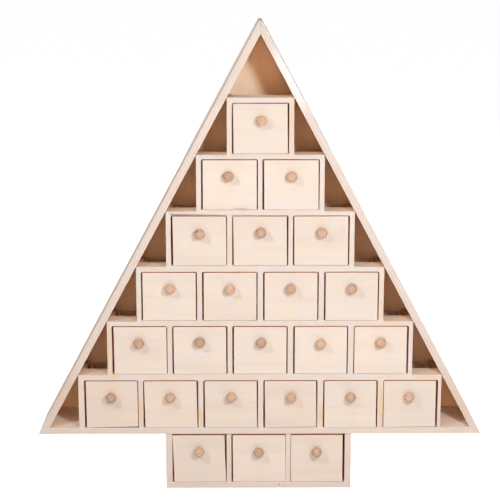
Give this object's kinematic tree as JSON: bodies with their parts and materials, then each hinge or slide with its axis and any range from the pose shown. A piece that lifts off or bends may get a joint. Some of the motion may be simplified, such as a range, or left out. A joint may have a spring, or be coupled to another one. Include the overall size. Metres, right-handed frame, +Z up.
{
  "type": "christmas tree advent calendar",
  "caption": "Plywood Christmas tree on a trunk, with stepped tiers of small open-topped drawers that slide out of their cells by turned wooden knobs.",
  "frame": {"origin": "middle of the trunk's flat underside", "axes": "+Z up, -Y out of the drawer fronts, +X to the right of someone who faces the drawers"},
  "size_m": [0.4106, 0.0708, 0.4317],
  "materials": {
    "board_ply": "bare sawn plywood edges",
    "drawer_ply": "bare sanded plywood face",
    "panel_ply": "bare thin plywood",
    "knob_wood": "bare turned wood"
  },
  "bodies": {
    "carcass": {"left_side_board": "board_ply", "right_side_board": "board_ply", "base_board": "board_ply", "tree_back_panel": "panel_ply", "tier_1_frame": "board_ply", "tier_2_frame": "board_ply", "tier_3_frame": "board_ply", "tier_4_frame": "board_ply", "tier_5_frame": "board_ply", "tier_6_frame": "board_ply", "trunk_frame": "board_ply", "trunk_back_panel": "panel_ply"},
    "drawer_01": {"drawer_01_box": "drawer_ply", "drawer_01_knob": "knob_wood"},
    "drawer_02": {"drawer_02_box": "drawer_ply", "drawer_02_knob": "knob_wood"},
    "drawer_03": {"drawer_03_box": "drawer_ply", "drawer_03_knob": "knob_wood"},
    "drawer_04": {"drawer_04_box": "drawer_ply", "drawer_04_knob": "knob_wood"},
    "drawer_05": {"drawer_05_box": "drawer_ply", "drawer_05_knob": "knob_wood"},
    "drawer_06": {"drawer_06_box": "drawer_ply", "drawer_06_knob": "knob_wood"},
    "drawer_07": {"drawer_07_box": "drawer_ply", "drawer_07_knob": "knob_wood"},
    "drawer_08": {"drawer_08_box": "drawer_ply", "drawer_08_knob": "knob_wood"},
    "drawer_09": {"drawer_09_box": "drawer_ply", "drawer_09_knob": "knob_wood"},
    "drawer_10": {"drawer_10_box": "drawer_ply", "drawer_10_knob": "knob_wood"},
    "drawer_11": {"drawer_11_box": "drawer_ply", "drawer_11_knob": "knob_wood"},
    "drawer_12": {"drawer_12_box": "drawer_ply", "drawer_12_knob": "knob_wood"},
    "drawer_13": {"drawer_13_box": "drawer_ply", "drawer_13_knob": "knob_wood"},
    "drawer_14": {"drawer_14_box": "drawer_ply", "drawer_14_knob": "knob_wood"},
    "drawer_15": {"drawer_15_box": "drawer_ply", "drawer_15_knob": "knob_wood"},
    "drawer_16": {"drawer_16_box": "drawer_ply", "drawer_16_knob": "knob_wood"},
    "drawer_17": {"drawer_17_box": "drawer_ply", "drawer_17_knob": "knob_wood"},
    "drawer_18": {"drawer_18_box": "drawer_ply", "drawer_18_knob": "knob_wood"},
    "drawer_19": {"drawer_19_box": "drawer_ply", "drawer_19_knob": "knob_wood"},
    "drawer_20": {"drawer_20_box": "drawer_ply", "drawer_20_knob": "knob_wood"},
    "drawer_21": {"drawer_21_box": "drawer_ply", "drawer_21_knob": "knob_wood"},
    "drawer_22": {"drawer_22_box": "drawer_ply", "drawer_22_knob": "knob_wood"},
    "drawer_23": {"drawer_23_box": "drawer_ply", "drawer_23_knob": "knob_wood"},
    "drawer_24": {"drawer_24_box": "drawer_ply", "drawer_24_knob": "knob_wood"}
  },
  "joints": [
    {"name": "drawer_01_slide", "type": "slide", "parent": "carcass", "child": "drawer_01", "axis": [0, -1, 0], "range_m": [0, 0.0505]},
    {"name": "drawer_02_slide", "type": "slide", "parent": "carcass", "child": "drawer_02", "axis": [0, -1, 0], "range_m": [0, 0.0505]},
    {"name": "drawer_03_slide", "type": "slide", "parent": "carcass", "child": "drawer_03", "axis": [0, -1, 0], "range_m": [0, 0.0505]},
    {"name": "drawer_04_slide", "type": "slide", "parent": "carcass", "child": "drawer_04", "axis": [0, -1, 0], "range_m": [0, 0.0505]},
    {"name": "drawer_05_slide", "type": "slide", "parent": "carcass", "child": "drawer_05", "axis": [0, -1, 0], "range_m": [0, 0.0505]},
    {"name": "drawer_06_slide", "type": "slide", "parent": "carcass", "child": "drawer_06", "axis": [0, -1, 0], "range_m": [0, 0.0505]},
    {"name": "drawer_07_slide", "type": "slide", "parent": "carcass", "child": "drawer_07", "axis": [0, -1, 0], "range_m": [0, 0.0505]},
    {"name": "drawer_08_slide", "type": "slide", "parent": "carcass", "child": "drawer_08", "axis": [0, -1, 0], "range_m": [0, 0.0505]},
    {"name": "drawer_09_slide", "type": "slide", "parent": "carcass", "child": "drawer_09", "axis": [0, -1, 0], "range_m": [0, 0.0505]},
    {"name": "drawer_10_slide", "type": "slide", "parent": "carcass", "child": "drawer_10", "axis": [0, -1, 0], "range_m": [0, 0.0505]},
    {"name": "drawer_11_slide", "type": "slide", "parent": "carcass", "child": "drawer_11", "axis": [0, -1, 0], "range_m": [0, 0.0505]},
    {"name": "drawer_12_slide", "type": "slide", "parent": "carcass", "child": "drawer_12", "axis": [0, -1, 0], "range_m": [0, 0.0505]},
    {"name": "drawer_13_slide", "type": "slide", "parent": "carcass", "child": "drawer_13", "axis": [0, -1, 0], "range_m": [0, 0.0505]},
    {"name": "drawer_14_slide", "type": "slide", "parent": "carcass", "child": "drawer_14", "axis": [0, -1, 0], "range_m": [0, 0.0505]},
    {"name": "drawer_15_slide", "type": "slide", "parent": "carcass", "child": "drawer_15", "axis": [0, -1, 0], "range_m": [0, 0.0505]},
    {"name": "drawer_16_slide", "type": "slide", "parent": "carcass", "child": "drawer_16", "axis": [0, -1, 0], "range_m": [0, 0.0505]},
    {"name": "drawer_17_slide", "type": "slide", "parent": "carcass", "child": "drawer_17", "axis": [0, -1, 0], "range_m": [0, 0.0505]},
    {"name": "drawer_18_slide", "type": "slide", "parent": "carcass", "child": "drawer_18", "axis": [0, -1, 0], "range_m": [0, 0.0505]},
    {"name": "drawer_19_slide", "type": "slide", "parent": "carcass", "child": "drawer_19", "axis": [0, -1, 0], "range_m": [0, 0.0505]},
    {"name": "drawer_20_slide", "type": "slide", "parent": "carcass", "child": "drawer_20", "axis": [0, -1, 0], "range_m": [0, 0.0505]},
    {"name": "drawer_21_slide", "type": "slide", "parent": "carcass", "child": "drawer_21", "axis": [0, -1, 0], "range_m": [0, 0.0505]},
    {"name": "drawer_22_slide", "type": "slide", "parent": "carcass", "child": "drawer_22", "axis": [0, -1, 0], "range_m": [0, 0.0505]},
    {"name": "drawer_23_slide", "type": "slide", "parent": "carcass", "child": "drawer_23", "axis": [0, -1, 0], "range_m": [0, 0.0505]},
    {"name": "drawer_24_slide", "type": "slide", "parent": "carcass", "child": "drawer_24", "axis": [0, -1, 0], "range_m": [0, 0.0505]}
  ]
}
